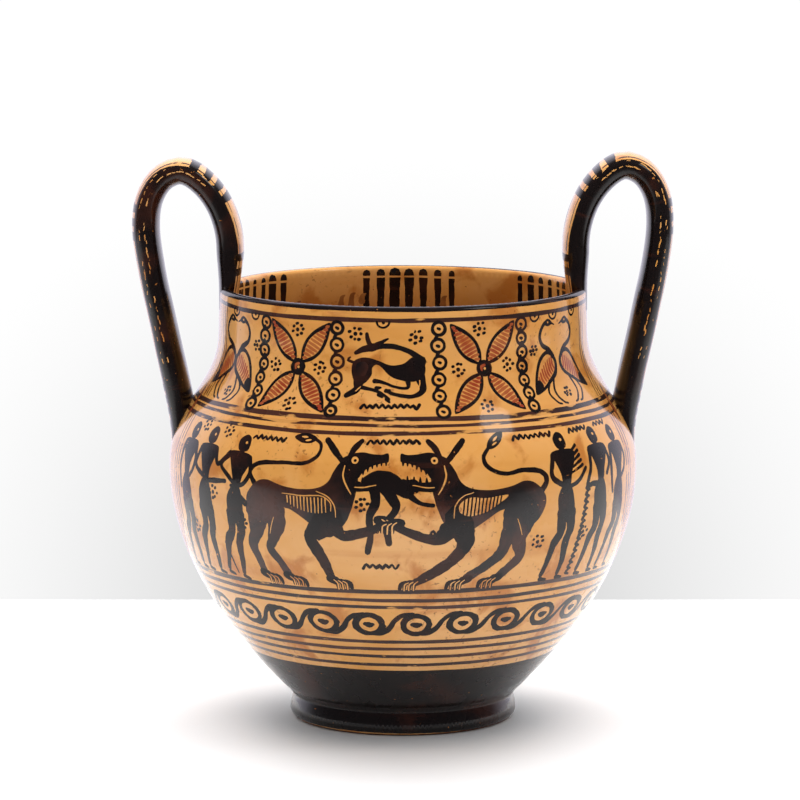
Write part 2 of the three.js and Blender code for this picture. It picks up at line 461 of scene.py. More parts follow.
def petal_cross(angle, y):
    """Four long petals, outlined and hatched in red, round a red button."""
    place = spot(angle, y)
    for corner_x, corner_y in ((-1, 1), (1, 1), (1, -1), (-1, -1)):
        tip = np.array([corner_x, corner_y]) * PETAL_TIP
        length = float(np.hypot(*tip))
        way = tip / length
        side = np.array([-way[1], way[0]])

        def at(t, across):
            return way * (PETAL_START + (length - PETAL_START) * t) + side * across

        edge = [(t, petal_half_width(t)) for t in np.linspace(0.001, 0.999, 9)]
        filling = [(0.86 * t + 0.06, max(0.2, half - 1.4)) for t, half in edge]
        for swell, colour in ((edge, SLIP), (filling, RED_LIGHT)):
            outline = [at(t, half) for t, half in swell] + [at(t, -half) for t, half in swell[-2:0:-1]]
            paint.shape(place, smooth(outline, 1.2, closed=True), colour)
        for k in range(PETAL_HATCHES):
            t = 0.12 + 0.078 * k
            half = max(0.3, petal_half_width(t) - 1.95)
            slant = way * 0.5 * corner_x * corner_y
            paint.brush(place, [(*(at(t, half) - slant), chance.uniform(0.8, 1.1)), (*at(t, 0), 1.4),
                                (*(at(t, -half) + slant), chance.uniform(0.8, 1.1))], RED)
    paint.disc(place, 0, 0, 3.7)
    paint.disc(place, 0, 0, 2.6, THIN_SLIP)
    paint.brush(place, [(-1.2, -0.8, 0.9), (-1.3, 0.8, 1.2), (0.2, 1.4, 1.1)], RED)
    paint.disc(place, 0.2, -0.1, 0.6, CLAY)


def bird(angle, y, flip=1):
    """A long-necked wading bird, its body hatched in red."""
    place = spot(angle, y, flip)
    body = [(-9.6, -9.6), (-7.6, -2.5), (-3.6, 5.2), (1.4, 8.8), (6.0, 7.6), (8.6, 3.4), (7.0, -1.6),
            (1.6, -5.2), (-4.6, -8.4)]
    paint.blob(place, body)
    wing = [(-7.9, -8.3), (-6.0, -2.6), (-2.5, 3.9), (1.6, 7.0), (5.0, 6.0), (6.7, 3.1), (5.4, -0.4),
            (0.9, -3.6), (-4.2, -6.8)]
    paint.blob(place, wing, RED_LIGHT)
    for k in range(9):
        low_x, low_y = -6.6 + 1.45 * k, -7.4 + 0.95 * k
        top_x, top_y = -7.0 + 1.45 * k + 0.6, -4.6 + 1.25 * k
        lift = 1.9 * math.sin(math.pi * (k + 0.8) / 9.6)
        paint.brush(place, [(low_x + 0.9, low_y + 0.3, 0.9),
                            ((low_x + top_x) / 2, (low_y + top_y) / 2, 1.25),
                            (top_x - 0.3, top_y + lift, 0.9)], RED)
    paint.blob(place, [(-9.6, -9.8), (-8.6, -5.4), (-5.8, -3.4), (-4.0, -5.6), (-5.6, -8.6)])
    paint.brush(place, [(6.6, 5.6, 2.2), (3.6, 9.0, 2.4), (-1.0, 11.6, 2.0), (-2.6, 15.2, 1.7),
                        (-1.2, 18.8, 1.7), (1.8, 21.0, 2.0), (3.8, 20.4, 1.5)])
    paint.blob(place, [(0.2, 20.4), (2.2, 22.4), (4.8, 21.8), (5.8, 20.2), (3.2, 19.2)])
    paint.brush(place, [(4.8, 20.7, 1.3), (7.6, 19.6, 0.6)])
    paint.disc(place, 2.9, 20.9, 0.45, CLAY)
    for hip, knee in (((0.4, -4.4), (-2.2, -9.6)), ((3.8, -2.8), (1.6, -9.8))):
        foot_x = knee[0] + 2.6
        paint.brush(place, [(*hip, 1.3), (*knee, 1.2), (foot_x, -14.4, 1.1), (foot_x + 2.2, -15.4, 0.9)])


def deer(angle, y):
    """A lying deer that looks back over its shoulder."""
    place = spot(angle, y)
    body = [(-15.0, 2.0), (-13.4, 5.0), (-9.0, 6.3), (-3.4, 5.0), (2.0, 3.0), (7.6, 3.9), (11.4, 6.6),
            (15.2, 6.0), (16.8, 2.0), (15.6, -2.0), (11.6, -4.0), (6.0, -3.2), (1.6, -1.4), (-3.2, 3.0),
            (-5.9, 2.0), (-6.2, -1.4), (-9.0, -4.8), (-12.6, -5.0), (-14.6, -1.6)]
    paint.blob(place, body)
    paint.blob(place, [(-12.8, 3.4), (-9.2, 4.4), (-7.6, 2.0), (-9.2, -1.6), (-12.4, -1.0)], THIN_SLIP)
    paint.strokes(place, [
        [(14.6, 4.6, 5.0), (11.4, 8.0, 2.6), (4.6, 10.8, 2.2), (-2.4, 11.2, 2.4), (-6.4, 10.4, 3.6),
         (-10.0, 9.6, 2.8), (-13.2, 8.0, 1.6)],
        [(-6.6, 11.0, 2.2), (-8.0, 13.8, 1.9), (-8.3, 16.2, 1.6)],
        [(-5.0, 11.2, 2.2), (-2.0, 12.8, 1.7), (0.8, 14.2, 1.0)],
        [(-13.8, 3.8, 1.2), (-16.6, 5.0, 1.4), (-15.6, 6.2, 0.8)],
    ])
    hooves = [(-2.6, -9.6, -0.7), (0.6, -11.6, -0.9), (-3.8, -6.9, 0.2), (0.2, -8.0, 0.3),
              (-4.6, -3.6, -0.4)]
    paint.strokes(place, [
        [(-11.4, -4.0, 5.2), (-12.2, -7.6, 3.2), (-16.2, -10.4, 2.2)],
        [(-10.0, -6.6, 1.8), (-4.6, -7.8, 1.6), (-1.0, -9.6, 1.4), (1.4, -11.6, 1.3)],
        [(14.2, -1.6, 4.2), (15.4, -7.6, 2.8), (10.6, -10.4, 2.0), (3.4, -9.4, 1.6), (0.2, -7.8, 1.6)],
        [(9.2, -3.0, 2.2), (9.0, -6.6, 1.5), (4.0, -6.2, 1.3), (-0.6, -4.4, 1.5), (-4.0, -3.6, 1.6)],
        *([(x, y, 2.0), (x + 1.7 * math.cos(turn), y + 1.7 * math.sin(turn), 1.0)] for x, y, turn in hooves),
    ])
    paint.strokes(place, [
        [(-12.4, -8.2, 0.45), (-10.6, -6.4, 0.45)],
        [(13.0, -8.0, 0.5), (14.0, -5.4, 0.5), (14.2, -3.4, 0.4)],
    ], CLAY)


TORSO = [(-31.4, 42), (-27, 46.2), (-21.6, 47.4), (-14.4, 45.4), (-5.4, 44.6), (2.6, 45.6), (7.4, 48.4),
         (9.8, 53), (12.8, 57.2), (17.6, 57.4), (20.4, 53), (20.4, 47), (19, 41), (17.4, 36), (15, 31),
         (10.4, 27), (4.4, 27), (-0.6, 29.8), (-5.6, 33), (-11, 35.8), (-16.4, 35), (-21, 29.6),
         (-26.6, 28.4), (-31, 33), (-32.8, 38)]
SKULL = [(12.6, 57.4), (16.4, 60.4), (21.4, 61.6), (26.4, 60.9), (30.6, 60.6), (33.4, 61.2), (33.5, 57.6),
         (31.2, 57.0), (27.8, 56.2), (24.6, 54.6), (22.2, 52.4), (20.4, 50.2), (16.4, 50.4)]
JAW = [(16.6, 52.4), (20.0, 49.4), (23.8, 48.8), (28.6, 49.0), (32.6, 50.4), (33.2, 48.8), (29.4, 46.0),
       (23.4, 44.8), (18.0, 45.4)]

STALKING = {
    "tail": [(-28, 44.6, 2.6), (-31.2, 50, 2.3), (-26.4, 54, 2.0), (-14.4, 55.2, 1.8), (-4.6, 55.6, 1.7),
             (1.6, 59.2, 1.7), (2.4, 64, 1.6), (-0.6, 66.6, 1.4)],
    "tassel": (-5.4, 66.6, 0.05),
    "legs": [
        [(-17.6, 35, 10.5), (-17.2, 28.6, 8.6), (-20, 21, 5.0), (-21.8, 17, 4.6), (-17, 10.6, 3.7),
         (-14.2, 5.4, 3.9)],
        [(-26, 36, 14), (-27.2, 29.4, 11.4), (-28.6, 23.6, 7.2), (-31.2, 18, 4.9), (-29.4, 12, 4.1),
         (-27.6, 5.8, 4.2)],
        [(8, 32, 13), (2, 27.2, 9.4), (-0.8, 23, 6.4), (1.8, 18, 5.5), (4.8, 12, 4.7), (7.0, 5.8, 4.2)],
    ],
    "paws": [(-14.4, 2.4), (-27.4, 2.4), (7.4, 2.4)],
    "raised": [(10.4, 28.6, 7), (14.2, 25.4, 5), (21, 26.6, 4.3), (27.2, 28.6, 3.8), (30.6, 31, 3.4)],
}
CROUCHING = {
    "tail": [(-30, 42, 2.8), (-33, 46.4, 2.8), (-30.6, 50.4, 2.4), (-21.6, 52, 2.0), (-12.4, 51, 1.9),
             (-5.2, 54, 1.9), (-3.4, 58.6, 1.9), (-6.2, 62.6, 1.6)],
    "tassel": (-10.2, 65.6, -0.6),
    "legs": [
        [(-22, 31, 12), (-19.6, 23, 7.6), (-21, 14.4, 5.4), (-16.4, 9.4, 4.3), (-11.6, 5.2, 4.0)],
        [(-17.6, 33, 13), (-14.2, 25, 7.6), (-11.8, 17, 5.2), (-4.6, 10.8, 4.7), (3.8, 5.4, 4.1)],
        [(9, 33, 13), (6.2, 26, 9.6), (6.0, 20.6, 6.6), (11, 14.2, 5.6), (18.2, 9.2, 4.8), (24.8, 5.2, 4.4)],
    ],
    "paws": [(-11.2, 2.4), (3.8, 2.4), (25.2, 2.4)],
    "raised": [(13, 28, 8), (16.6, 24.2, 5.6), (23, 24.8, 4.4), (30.2, 27.4, 3.6), (35, 29.6, 3.4)],
}


def claws(place, x, y, lift=0.0):
    """A spread paw: an ankle and four curved toes parted by clay."""
    paint.brush(place, [(x - 1.2, y + 2.8, 3.8), (x + 1.6, y + 1.9 + lift, 4.2)])
    for k in range(4):
        out = x - 0.4 + 2.15 * k
        paint.brush(place, [(out, y + 2.6 - 0.3 * k + lift, 2.1), (out + 2.2, y + 1.7 - 0.3 * k + lift, 2.1),
                            (out + 2.9, y - 1.5 + 0.5 * lift, 1.7)])
    for k in range(3):
        out = x + 0.6 + 2.15 * k
        paint.brush(place, [(out, y + 2.2 - 0.3 * k + lift, 0.4), (out + 1.7, y + 0.6 + lift, 0.6),
                            (out + 1.9, y - 2.2 + 0.5 * lift, 0.7)], CLAY)


def beast(angle, pose, flip=1, ribs_open=False):
    """A snarling long-tailed beast; its ribs are left in clay."""
    place = frieze_spot(angle, GROUND_LINE + 1.0, flip)
    *hind_legs, fore_leg = pose["legs"]
    paint.brush(place, pose["tail"])
    tuft_x, tuft_y, tuft_turn = pose["tassel"]
    tuft = Spot(*place.place(np.array([[tuft_x, tuft_y]]))[0], flip, 1.0, place.stretch, flip * tuft_turn)
    paint.blob(tuft, [(-6.0, 0.6), (-2.4, 2.4), (2.6, 2.0), (5.6, 0.0), (3.0, -2.0), (-2.0, -1.9)])
    paint.blob(tuft, [(-2.6, 0.9), (-0.4, 1.2), (1.0, 0.5), (-0.8, 0.1)], CLAY)
    paint.blob(tuft, [(-0.4, -0.9), (1.4, -0.3), (2.8, -0.6), (1.2, -1.2)], CLAY)
    paint.strokes(place, hind_legs, THIN_SLIP)
    paint.blob(place, TORSO, THIN_SLIP, 1.4)
    paint.strokes(place, [fore_leg, pose["raised"]])
    paint.blob(place, SKULL)
    paint.blob(place, JAW)
    for tooth in range(6):
        x = 22.6 + 1.95 * tooth
        top = 53.3 + 3.9 * math.sin(math.pi / 2 * min(1.0, tooth / 4.6))
        paint.brush(place, [(x, top + 0.8, 1.7), (x + 0.1, top - 1.2, 0.6)])
    for tooth in range(4):
        x = 22.4 + 2.7 * tooth
        paint.brush(place, [(x, 48.4, 1.6), (x + 0.1, 50.6 + 0.25 * tooth, 0.6)])
    paint.brush(place, [(19.4, 46.6, 0.4), (23.4, 46.7, 0.5), (28.2, 47.6, 0.35)], CLAY)
    paint.circle(place, 18.8, 58.0, 1.6, 0.01)    # the eye
    paint.disc(place, 18.9, 57.9, 0.7)
    paint.brush(place, [(13.6, 57, 2.2), (9.8, 61.4, 3.0), (5.2, 66.4, 2.6)])
    paint.brush(place, [(16.2, 59.6, 2.0), (18.2, 63.2, 3.0), (21.2, 66.6, 2.2)])
    for x, y in pose["paws"]:
        claws(place, x, y)
    reach_x, reach_y, _ = pose["raised"][-1]
    claws(place, reach_x - 0.4, reach_y - 1.0, 0.9)
    paint.brush(place, [(14.6, 55.6, 0.4), (14.0, 51.4, 0.75), (15.6, 46.8, 0.7), (17.6, 43.6, 0.4)], CLAY)
    paint.brush(place, [(2.2, 44.0, 0.3), (7.2, 42.2, 0.45), (10.4, 38.2, 0.5), (10.8, 33.4, 0.3)], CLAY)
    panel = [(-13.6, 42.0), (-4, 41.3), (3.6, 41.8), (8.0, 39.4), (8.2, 35.6), (3.6, 33.9), (-3.4, 35.4),
             (-9.4, 38.6)]
    if ribs_open:
        paint.blob(place, panel, CLAY)
        for k in range(11):
            x = -10.4 + 1.65 * k
            low = 38.9 - 4.6 * math.sin(math.pi * (k + 1) / 17)
            paint.brush(place, [(x + 0.8, low - 0.2, 0.75), (x - 0.1, 41.6, 0.75)])
    else:
        for k in range(12):
            x = -11.6 + 1.62 * k
            low = 39.2 - 4.4 * math.sin(math.pi * (k + 1) / 18)
            paint.brush(place, [(x + 0.3, low, 0.35), (x, 41.2, 0.6)], CLAY)
        paint.brush(place, [(-14, 42.2, 0.3), (-4, 41.9, 0.5), (4, 42.2, 0.4), (8.4, 39.6, 0.5),
                            (8.8, 36, 0.4)], CLAY)
    paint.brush(place, [(-18.4, 31.4, 0.3), (-20.0, 27.2, 0.4), (-21.0, 24, 0.3)], CLAY)


def fallen_figure(angle):
    """A limp generic figure held between the two beasts."""
    place = frieze_spot(angle, GROUND_LINE + 1.0)
    paint.strokes(place, [
        [(-9.6, 49.6, 4.6), (-4.4, 50.6, 6.4), (1.6, 48.4, 7.4), (7.0, 44.6, 5.6)],
        [(-7.0, 48.0, 5.2), (-6.2, 40.6, 4.2), (-8.8, 34.0, 3.2), (-8.4, 26.0, 3.0), (-10.0, 18.4, 2.8)],
        [(-3.4, 48.0, 5.4), (0.8, 42.0, 4.6), (2.4, 37.4, 3.4), (-1.6, 31.0, 3.0), (-0.6, 22.6, 2.8)],
        [(8.4, 43.2, 2.8), (12.6, 40.0, 2.0), (18.2, 39.0, 1.8)],
    ])
    paint.disc(place, 9.6, 47.0, 3.3)
    paint.disc(place, 10.4, 47.2, 0.8, CLAY)


BRANCH_LEAVES = [(-9.4 - 0.15 * (40 - y), y) for y in (40.0 - 2.7 * k for k in range(15))]
ARMS = {
    "side": [
        [(-6.4, 56, 2.5), (-7.6, 48.6, 2.2), (-7.4, 42.4, 2.0), (-6.4, 36.4, 1.9)],
        [(6.0, 56, 2.5), (7.6, 50.6, 2.2), (6.4, 45.6, 2.1), (3.2, 42.4, 2.0)],
    ],
    "harp": [
        [(-6.4, 56, 2.6), (-8.2, 47.6, 2.4), (-3.4, 43.6, 2.4), (1.8, 41.8, 2.4)],
        [(2.0, 42.0, 2.2), (7.4, 43.8, 2.0), (12.8, 48.8, 1.6)],
        *([(2.6, 47.4 + 2.0 * k, 1.0), (10.8 - 0.5 * k, 50.4 + 2.2 * k, 1.5)] for k in range(5)),
    ],
    "branch": [
        [(-6.4, 56, 2.5), (-7.4, 48, 2.2), (-10.2, 41.6, 2.0)],
        [(6.0, 56, 2.5), (7.8, 50, 2.2), (5.2, 44.6, 2.1)],
        [(-2.4, 41, 2.6), (-6.4, 41.4, 2.6), (-9.4, 40.4, 2.2)],
        *([(x + 0.6, y + 1.7, 1.2), (x - 1.3, y, 1.9), (x + 1.0, y - 0.9, 1.1)] for x, y in BRANCH_LEAVES),
    ],
    "stick": [
        [(-6.4, 56, 2.4), (-11.0, 50.4, 2.0), (-5.6, 46.6, 2.0), (-1.0, 43.6, 2.0)],
        [(6.0, 56, 2.5), (7.4, 50.2, 2.2), (4.0, 44.6, 2.1), (-1.0, 43.2, 2.0)],
        [(-3.0, 42.6, 1.8), (2.4, 39.6, 2.0), (6.2, 36.6, 2.8)],
        [(-7.6, 15.6, 1.8), (-5.2, 8.6, 1.1), (-2.8, 1.8, 1.0)],
    ],
    "reach": [
        [(-6.4, 56, 2.5), (-8.4, 48.4, 2.2), (-2.4, 44.2, 2.1)],
        [(6.0, 56, 2.5), (8.6, 50.2, 2.2), (15.4, 56.2, 2.0)],
        [(1.4, 42.2, 2.0), (8.0, 43.0, 2.4), (14.4, 43.6, 2.0)],
    ],
}


def person(angle, flip=1, arms="side", lean=0.0, size=1.0):
    """A slim generic standing figure in plain silhouette."""
    place = frieze_spot(angle, GROUND_LINE + 1.6, flip, size, lean)
    head = [(-3.3, 60.0), (-3.6, 63.4), (-0.6, 66.2), (2.6, 65.2), (3.5, 61.8), (3.0, 59.4), (1.0, 58.4),
            (-1.6, 58.4)]
    chest = [(-7.0, 57.2), (0, 58.4), (6.6, 57.4), (6.2, 53.4), (3.4, 47.6), (2.2, 42.6), (-1.8, 42.4),
             (-2.8, 47), (-5.2, 52.6)]
    hips = [(-1.6, 43.4), (2.0, 43.0), (4.2, 38.4), (5.0, 31.4), (1.6, 26.6), (-2.6, 27.4), (-4.8, 33.0),
            (-4.8, 38.6)]
    paint.blob(place, head)
    paint.disc(place, 0.9, 62.6, 0.7, CLAY)
    paint.brush(place, [(0, 60, 2.6), (0, 56, 3.0)])
    paint.blob(place, chest)
    paint.blob(place, hips)
    paint.strokes(place, [
        [(2.6, 31, 6.2), (3.6, 23.6, 4.8), (1.8, 17.4, 4.6), (2.0, 9.0, 3.2), (1.2, 3.0, 2.7)],
        [(1.0, 1.0, 2.2), (4.6, 0.4, 1.4)],
        [(-2.4, 31, 6.0), (-2.2, 22.6, 4.6), (-5.4, 17.2, 4.5), (-7.2, 9.2, 3.0), (-9.0, 3.0, 2.5)],
        [(-9.2, 1.0, 2.1), (-5.6, 0.4, 1.4)],
        *ARMS[arms],
    ])


# ---- what is painted where, from the foot up; angles run from the front, y is the sheet height ----
GROUND_LINE = 77.6
BLACK_TOP = 31.3
THIN_RINGS = [(35.8, 2.0), (40.8, 1.9), (45.4, 1.9), (50.2, 2.0)]
GROUND_RINGS = [(69.6, 1.7), (73.6, 1.8), (GROUND_LINE, 2.1)]
SHOULDER_RINGS = [(148.2, 1.9), (151.9, 1.5), (155.5, 2.3)]
UNDER_RIM = (198.6, 1.9)
WAVE_Y = 60.4
WAVE_COUNT = 27
WAVE_START = 3.7             # degrees from the front to the first ring
NECK_MIDDLE = 177.0
COLUMN_LOW, COLUMN_HIGH = 158.6, 194.6

paint.band(SHEET_LOW - 1, STAND_EDGE + 2.6, BARE, 0.25)
paint.band(STAND_EDGE + 2.6, BLACK_TOP, SLIP, 0.3)
for rings, look in ((THIN_RINGS + GROUND_RINGS, RING), (SHOULDER_RINGS, DRY_LINE), ([UNDER_RIM], RING)):
    for y, width in rings:
        paint.band(y - width / 2, y + width / 2, look, 0.35)
paint.band(LIP_OUT + 0.5, (LIP_OUT + LIP_IN) / 2 + 0.9, SLIP, 0.2)


def wave_spots(stretch):
    """The places along the running wave, each a little higher or lower."""
    for k in range(WAVE_COUNT):
        x = sheet_x(WAVE_START + 360.0 * k / WAVE_COUNT)
        yield Spot(x, WAVE_Y + chance.uniform(-0.3, 0.3), stretch=stretch)


for place in wave_spots(1.18):
    paint.brush(place, [(0.6, -5.4, 1.8), (4.8, -5.2, 2.8), (8.6, -2.4, 2.6), (11.4, 2.2, 2.2),
                        (14.6, 5.0, 2.6), (18.6, 5.6, 2.6)])
for place in wave_spots(1.32):
    paint.circle(place, 0, 0, chance.uniform(6.3, 6.7), chance.uniform(2.3, 2.8))
    paint.brush(place, [(-1.2, 0.3, 2.4), (0.3, -0.2, 3.5), (1.4, 0.1, 2.2)])

# Neck: on the front a lying deer between crosses, circle columns and pairs of birds.
for half_turn in (0, 180):
    for angle in (-46.5, -20, 10.8, 38.6):
        circle_column(half_turn + angle, COLUMN_LOW, COLUMN_HIGH, 6 if abs(angle) < 30 else 7)
    for angle in (-33, 25):
        petal_cross(half_turn + angle, NECK_MIDDLE)
    for angle, y in ((-33.6, 192.8), (-41.6, 177), (-25.6, 177.2), (-33.4, 160.6), (23.6, 194), (16.6, 177),
                     (33, 178), (24, 160.4), (3.8, 191.2), (-14.4, 192.4)):
        rosette(half_turn + angle, y)
    bird(half_turn - 56.0, 173, -1)
    bird(half_turn - 67.2, 173, 1)
    bird(half_turn + 48, 173, 1)
    bird(half_turn + 61, 173, -1)
    for angle in (-62.5, -51.5, -6, 44, 52.5, 64):
        pendant(half_turn + angle, UNDER_RIM[0] - 0.9)
    for angle, y in ((54.4, 162.6), (43.4, 182.6), (-60.2, 162), (-50.4, 184)):
        rosette(half_turn + angle, y, 6, 1.9)
deer(-5, 176.2)
squiggle(-3.6, 161.2, 25)
rosette(180 - 5, NECK_MIDDLE, 8, 4.6)
rosette(180 - 5, NECK_MIDDLE, 7, 2.3)

# Belly: two beasts over a fallen figure, with three standing figures each side.
fallen_figure(-3.0)
beast(-22.0, STALKING)
beast(18.0, CROUCHING, -1, ribs_open=True)
person(-65.0, 1, "side")
person(-55.4, 1, "reach")
person(-45.8, 1, "stick", -0.09, 0.985)
person(42.6, 1, "harp")
person(55.6, 1, "branch")
person(65.0, 1, "side", 0.0, 0.98)
for angle, y, length in ((-35.6, 143.8, 17), (-2.4, 144.9, 22), (34.6, 144.9, 20), (50.6, 145.2, 12),
                         (61.2, 145.8, 10), (-5.4, 90.4, 15), (8.6, 105.4, 8)):
    squiggle(angle, y, length)
for angle, y in ((-42.2, 105.5), (34.4, 98.6), (-52.0, 117), (-61.6, 100), (-50.2, 144.6), (-9.8, 117.8),
                 (-60.6, 145), (49.6, 100)):
    rosette(angle, y)

# The back is plainer: two beasts walk towards each other between single figures.
beast(180 - 30, STALKING)
beast(180 + 30, STALKING, -1)
for angle in (-62, 62):
    person(180 + angle, 1 if angle < 0 else -1, "side")
for angle, y in ((180, 98), (180, 132), (180 - 48, 104), (180 + 48, 104), (180 - 8, 112), (180 + 8, 112)):
    rosette(angle, y)
for angle in (180 - 40, 180, 180 + 40):
    squiggle(angle, 144.8, 18)

# Beside each handle: upright lines that close the pictures, and a small red leaf on the shoulder.
for side in (-90, 90):
    for way in (-1, 1):
        for k, offset in enumerate((19.2, 17.4, 15.6)):
            angle = side + way * offset
            line = [(0, 0, 0.8), (0.3, 24, 0.9), (-0.2, 42, 0.8)]
            paint.brush(spot(angle, 157.0), line, SLIP if k else THIN_SLIP)
            low = [(0, 0, 0.9), (0.4, 22, 0.9), (-0.3, 45, 1.0), (0.1, 68.5, 0.8)]
            paint.brush(spot(angle, GROUND_LINE + 1.4), low, DRY_LINE)
        leaf = spot(side + way * 12.4, 152.0, way)
        paint.blob(leaf, [(0, -9.5), (-2.3, -2), (-1.6, 5), (0, 9.5), (1.7, 4), (2.0, -2.5)])
        paint.blob(leaf, [(0, -7.6), (-1.4, -1.6), (-0.9, 4), (0, 7.2), (0.9, 3.6), (1.2, -2.2)], RED)

# Inside, groups of tapering bars hang below the lip, with a thin ring of clay left across them.
BAR_TOP = LIP_IN + 0.4
BAR_GROUPS = [(177.6, 7, 4.95), (243.4, 8, 5.2), (120, 7, 5.4), (0, 6, 5.8), (62, 6, 5.8), (-62, 6, 5.8)]
for middle, count, gap in BAR_GROUPS:
    for k in range(count):
        angle = middle + (k - (count - 1) / 2) * gap + chance.uniform(-0.4, 0.4)
        place = spot(angle, BAR_TOP)
        width = chance.choice((2.9, 3.3, 3.8, 4.4, 5.4))
        length = chance.uniform(26, 33)
        paint.brush(place, [(0, 0.6, width), (0.1, length * 0.5, width * 0.82), (0, length, width * 0.5)])
paint.band(BAR_TOP + 1.9, BAR_TOP + 2.8, CLAY, 0.3)

# Brown drips of thin slip down the inside of the back wall: angle, depth below the lip, length.
DRIPS = [(218.5, 13.0, 3.0), (201.5, 11.6, 3.4), (197.8, 10.8, 4.6), (194.0, 11.2, 2.6), (166, 12.4, 3.0)]
for angle, deep, length in DRIPS:
    drip = spot(angle, LIP_IN + deep)
    paint.brush(drip, [(-1.4, -0.8, 0.8), (-0.2, 0.0, 2.0), (0.2, 0.6 * length, 2.4),
                       (0.3, length, 3.0)], WASH)

# Red smears on the plain band under the lip.
for angle, length in ((-20, 9), (-13, 12), (-8, 7)):
    smear = spot(angle, UNDER_RIM[0] + 2.3)
    paint.brush(smear, [(-length / 2, 0.2, 0.7), (-length / 6, -0.3, 1.6), (length / 6, 0.3, 1.3),
                        (length / 2, 0, 0.6)], RED_LIGHT)


# ---- handles: each strap is a sheet too, x round its girth from the middle of the outer face ----
SECTION_TURNS = np.linspace(-math.pi, math.pi, 361)
RIM_LUMP = 2.6               # extra width where the joint's clay was smeared on to the lip
RIM_LUMP_AT = 12.5           # how far up the strap that is widest
ROOT_SINK = 3.0              # how deep the strap's lower end lies in the wall


def section(turn):
    """Points of the strap's rounded section as shares of its half width and half thickness."""
    s, c = np.sin(turn), np.cos(turn)
    reach = (np.abs(s) ** STRAP_ROUNDING + np.abs(c) ** STRAP_ROUNDING) ** (-1 / STRAP_ROUNDING)
    return s * reach, c * reach


section_side, section_out = section(SECTION_TURNS)
girth_steps = np.hypot(np.diff(section_side) * STRAP_WIDTH / 2, np.diff(section_out) * STRAP_THICKNESS / 2)
GIRTH_AT = np.concatenate([[0.0], np.cumsum(girth_steps)]) - girth_steps.sum() / 2
GIRTH = float(girth_steps.sum())


def strap(side, rise):
    """The strap's surface as a function of sheet x and y, with its length and its centre line."""
    top = max(z for out, z in LOOP_LINE)
    line = [(out, z + rise * max(0.0, (z - RIM_HEIGHT) / (top - RIM_HEIGHT))) for out, z in LOOP_LINE]
    path = smooth(line, 1.5)
    along = np.concatenate([[0.0], np.cumsum(np.hypot(*np.diff(path, axis=0).T))])
    way = np.gradient(path, along, axis=0)
    length = float(along[-1])

    def surface(x, y):
        share = y / length
        way_out, way_z = np.interp(y, along, way[:, 0]), np.interp(y, along, way[:, 1])
        near_root = np.clip(1 - np.minimum(share, 1 - share) / ROOT_LENGTH, 0, 1)
        near_lip = np.clip(1 - share / ROOT_LENGTH, 0, 1)
        uneven = 1 + 0.012 * np.sin(y / 11.0 + side) + 0.008 * np.sin(y / 4.7 + x / 9.0)
        width = STRAP_WIDTH * (1 + (ROOT_FLARE - 1) * near_root ** 2) * uneven
        width = width + RIM_LUMP * np.exp(-((y - RIM_LUMP_AT) / 4.2) ** 2)
        thick = STRAP_THICKNESS * (1 - LIP_ROOT_THINNING * near_lip) * uneven
        across, outward = section(np.interp(x, GIRTH_AT, SECTION_TURNS))
        across, outward = across * width / 2, outward * thick / 2
        out = np.interp(y, along, path[:, 0]) - way_z * outward
        z = np.interp(y, along, path[:, 1]) + way_out * outward
        wall = np.where(share > 0.5, outer_radius(np.maximum(z, FOOT_TOP_Z)) - ROOT_SINK, 0.0)
        out = np.sqrt(np.maximum(out ** 2, np.maximum(wall ** 2 - across ** 2, 0)))
        return np.stack([side * out, -side * across, z], axis=1) * MM

    return surface, length, path


def strap_bake(length):
    """Bake layout of a strap: its length lies across the image, light colours below, slip above."""
    def bake_map(corners, colours):
        v = 0.47 * (corners[:, 0] / GIRTH + 0.5)
        return np.stack([corners[:, 1] / length, np.where(colours == SLIP, v + 0.53, v)], axis=1)
    return bake_map


# Each part of the sheet (from, to), and its place up the image in light colours and in slip.
POT_BAKE = [(SHEET_LOW, 0.0, (0.95, 1.0), (0.95, 1.0)), (0.0, LIP_IN, (0.0, 0.36), (0.37, 0.70)),
            (LIP_IN, SHEET_HIGH, (0.71, 0.82), (0.83, 0.94))]


def pot_bake(corners, colours):
    """Bake layout of the pot: slip lies apart from the light colours, so that no edge of paint blurs."""
    x, y = corners.T
    middle = np.repeat(y.reshape(-1, 3).mean(axis=1), 3)
    v = np.zeros(len(y))
    for low, high, light, dark in POT_BAKE:
        here = (middle >= low) & (middle <= high)
        share = np.clip((y - low) / (high - low), 0, 1)
        for group, (v_low, v_high) in ((here & (colours != SLIP), light), (here & (colours == SLIP), dark)):
            v[group] = v_low + (v_high - v_low) * share[group]
    return np.stack([(x - SHEET_START) / SHEET_WIDTH, v], axis=1)


def plain_grid(left, width, rows, spacing):
    """Plain points over a sheet, every other row half a step along."""
    count = int(math.ceil(width / spacing))
    even = np.linspace(left, left + width, count + 1)
    odd = np.concatenate([even[:1], (even[:-1] + even[1:]) / 2, even[-1:]])
    return [(x, y) for k, y in enumerate(rows) for x in (odd if k % 2 else even)]


def rows_between(low, high, spacing):
    """Even heights from low to high, about a spacing apart."""
    return list(np.linspace(low, high, max(2, int(round((high - low) / spacing)) + 1)))


